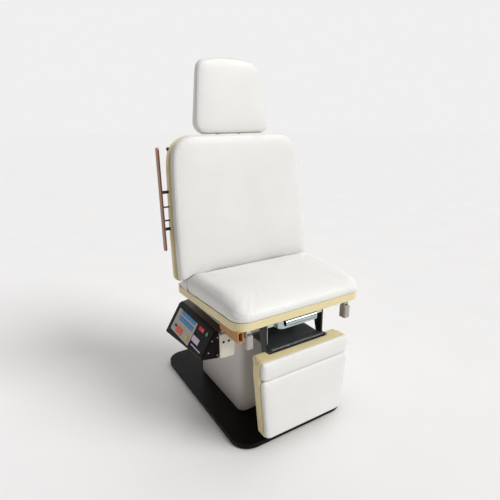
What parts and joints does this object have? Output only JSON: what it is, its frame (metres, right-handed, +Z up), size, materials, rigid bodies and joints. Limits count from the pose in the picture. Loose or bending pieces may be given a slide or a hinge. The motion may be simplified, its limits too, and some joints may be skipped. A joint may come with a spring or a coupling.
{
  "type": "procedure exam chair",
  "caption": "Powered procedure chair on a floor plate: telescopic column, tilting seat, reclining back with headrest, folding foot section, sliding pan and stirrups.",
  "frame": {"origin": "on the floor on the lifting column's axis", "axes": "+Z up, the patient faces -Y, +X is the patient's left"},
  "size_m": [0.7989, 0.9555, 1.6412],
  "materials": {
    "plate_paint": "gloss",
    "rubber_black": "matte",
    "cover_plastic": "satin",
    "steel": "satin",
    "dark_plastic": "satin",
    "slate_paint": "satin",
    "black_paint": "satin",
    "cream_paint": "satin",
    "cream_plastic": "satin",
    "vinyl": "soft satin",
    "overlay": "satin",
    "label": "satin",
    "green_lens": "gloss",
    "blue_keys": "satin",
    "yellow_cap": "gloss",
    "orange_cap": "gloss",
    "red_cap": "gloss",
    "grey_plastic": "satin"
  },
  "bodies": {
    "base": {"base_plate": "plate_paint", "levelling_feet": "rubber_black", "base_cover": "cover_plastic", "mast_outer": "steel", "power_box": "dark_plastic", "mains_inlet": "dark_plastic"},
    "column_middle": {"mast_middle": "steel"},
    "carriage": {"mast_inner": "steel", "lift_platform": "slate_paint", "upper_shroud": "cover_plastic"},
    "tilt_actuator": {"tilt_actuator_body": "black_paint"},
    "tilt_rod": {"tilt_actuator_rod": "steel"},
    "seat": {"seat_frame": "cream_paint", "tilt_shaft": "steel", "seat_shell": "cream_plastic", "seat_cushion": "vinyl", "receiver_housing": "cream_paint", "stirrup_guides": "slate_paint", "pan_runners": "steel", "guard_plate": "slate_paint", "console_bracket": "cream_paint", "console_body": "dark_plastic", "control_overlay": "overlay", "label_plate": "label", "pilot_lamp": "green_lens", "key_pad": "blue_keys", "back_hinge_blocks": "slate_paint", "back_hinge_pins": "steel"},
    "back_actuator": {"back_actuator_body": "black_paint"},
    "back_rod": {"back_actuator_rod": "steel"},
    "foot_actuator": {"foot_actuator_body": "black_paint"},
    "foot_rod": {"foot_actuator_rod": "steel"},
    "back": {"back_frame": "slate_paint", "back_shell": "cream_plastic", "back_cushion": "vinyl", "side_rail": "steel", "rail_spacers": "rubber_black", "headrest_guide": "dark_plastic"},
    "headrest_slide": {"headrest_posts": "steel"},
    "headrest": {"headrest_shell": "cream_plastic", "headrest_cushion": "vinyl"},
    "foot_section": {"foot_frame": "black_paint", "foot_board": "slate_paint", "foot_strip": "steel", "foot_shell": "cream_plastic", "foot_upper_cushion": "vinyl", "foot_lower_cushion": "vinyl"},
    "pan": {"treatment_pan": "steel"},
    "stirrup_left": {"stirrup_bar_left": "steel"},
    "stirrup_right": {"stirrup_bar_right": "steel"},
    "heel_left": {"stirrup_block_left": "grey_plastic"},
    "heel_right": {"stirrup_block_right": "grey_plastic"},
    "yellow_key": {"yellow_button": "yellow_cap"},
    "orange_key": {"orange_button": "orange_cap"},
    "rocker": {"red_rocker": "red_cap"}
  },
  "joints": [
    {"name": "lift", "type": "slide", "parent": "base", "child": "carriage", "axis": [0, 0, 1], "range_m": [0, 0.3]},
    {"name": "column_stage", "type": "slide", "parent": "base", "child": "column_middle", "axis": [0, 0, 1], "range_m": [0, 0.15002]},
    {"name": "tilt", "type": "hinge", "parent": "carriage", "child": "seat", "pos_m": [0, 0, 0.525], "axis": [-1, 0, 0], "range_deg": [0, 15]},
    {"name": "tilt_actuator_pivot", "type": "hinge", "parent": "carriage", "child": "tilt_actuator", "pos_m": [0.045, -0.122, 0.4], "axis": [-1, 0, 0], "range_deg": [0, 9.74]},
    {"name": "tilt_rod_slide", "type": "slide", "parent": "tilt_actuator", "child": "tilt_rod", "axis": [0, -0.5064, 0.8623], "range_m": [0, 0.04315]},
    {"name": "recline", "type": "hinge", "parent": "seat", "child": "back", "pos_m": [0, 0.007, 0.682], "axis": [-1, 0, 0], "range_deg": [0, 75]},
    {"name": "back_actuator_pivot", "type": "hinge", "parent": "seat", "child": "back_actuator", "pos_m": [-0.05, -0.167, 0.534], "axis": [-1, 0, 0], "range_deg": [-2.96, 0]},
    {"name": "back_rod_slide", "type": "slide", "parent": "back_actuator", "child": "back_rod", "axis": [0, 0.8778, 0.479], "range_m": [-0.05967, 0]},
    {"name": "foot_raise", "type": "hinge", "parent": "seat", "child": "foot_section", "pos_m": [0, -0.372, 0.564], "axis": [-1, 0, 0], "range_deg": [0, 90]},
    {"name": "foot_actuator_pivot", "type": "hinge", "parent": "seat", "child": "foot_actuator", "pos_m": [0.1503, -0.067, 0.5286], "axis": [-1, 0, 0], "range_deg": [-1.76, 0]},
    {"name": "foot_rod_slide", "type": "slide", "parent": "foot_actuator", "child": "foot_rod", "axis": [0, -1, 0.0002], "range_m": [0, 0.0703]},
    {"name": "headrest_height", "type": "slide", "parent": "back", "child": "headrest_slide", "axis": [0, 0.1433, 0.9897], "range_m": [0, 0.11]},
    {"name": "headrest_tilt", "type": "hinge", "parent": "headrest_slide", "child": "headrest", "pos_m": [0, 0.17479, 1.39254], "axis": [-1, 0, 0], "range_deg": [0, 40]},
    {"name": "pan_slide", "type": "slide", "parent": "seat", "child": "pan", "axis": [0, -1, 0], "range_m": [0, 0.17]},
    {"name": "stirrup_left_slide", "type": "slide", "parent": "seat", "child": "stirrup_left", "axis": [0, -1, 0], "range_m": [0, 0.28]},
    {"name": "stirrup_right_slide", "type": "slide", "parent": "seat", "child": "stirrup_right", "axis": [0, -1, 0], "range_m": [0, 0.28]},
    {"name": "heel_left_fold", "type": "hinge", "parent": "stirrup_left", "child": "heel_left", "pos_m": [-0.26, -0.431, 0.575], "axis": [-1, 0, 0], "range_deg": [0, 90]},
    {"name": "heel_right_fold", "type": "hinge", "parent": "stirrup_right", "child": "heel_right", "pos_m": [0.26, -0.431, 0.575], "axis": [-1, 0, 0], "range_deg": [0, 90]},
    {"name": "yellow_press", "type": "slide", "parent": "seat", "child": "yellow_key", "axis": [0.8545, 0, -0.5195], "range_m": [0, 0.0015], "stiffness_N_per_m": 900, "springref_m": -0.001},
    {"name": "orange_press", "type": "slide", "parent": "seat", "child": "orange_key", "axis": [0.8545, 0, -0.5195], "range_m": [0, 0.0015], "stiffness_N_per_m": 900, "springref_m": -0.001},
    {"name": "rocker_tilt", "type": "hinge", "parent": "seat", "child": "rocker", "pos_m": [-0.3532, -0.207, 0.51302], "axis": [0.5195, 0, 0.8545], "range_deg": [-8, 8]}
  ],
  "couplings": [
    {"joint": "column_stage", "follows": "lift", "ratio": 0.5},
    {"joint": "tilt_actuator_pivot", "follows": "tilt", "ratio": 0.64837},
    {"joint": "tilt_rod_slide", "follows": "tilt", "m_per_rad": 0.16466},
    {"joint": "back_actuator_pivot", "follows": "recline", "ratio": -0.03948},
    {"joint": "back_rod_slide", "follows": "recline", "m_per_rad": -0.045539},
    {"joint": "foot_actuator_pivot", "follows": "foot_raise", "ratio": -0.0195},
    {"joint": "foot_rod_slide", "follows": "foot_raise", "m_per_rad": 0.044712}
  ]
}
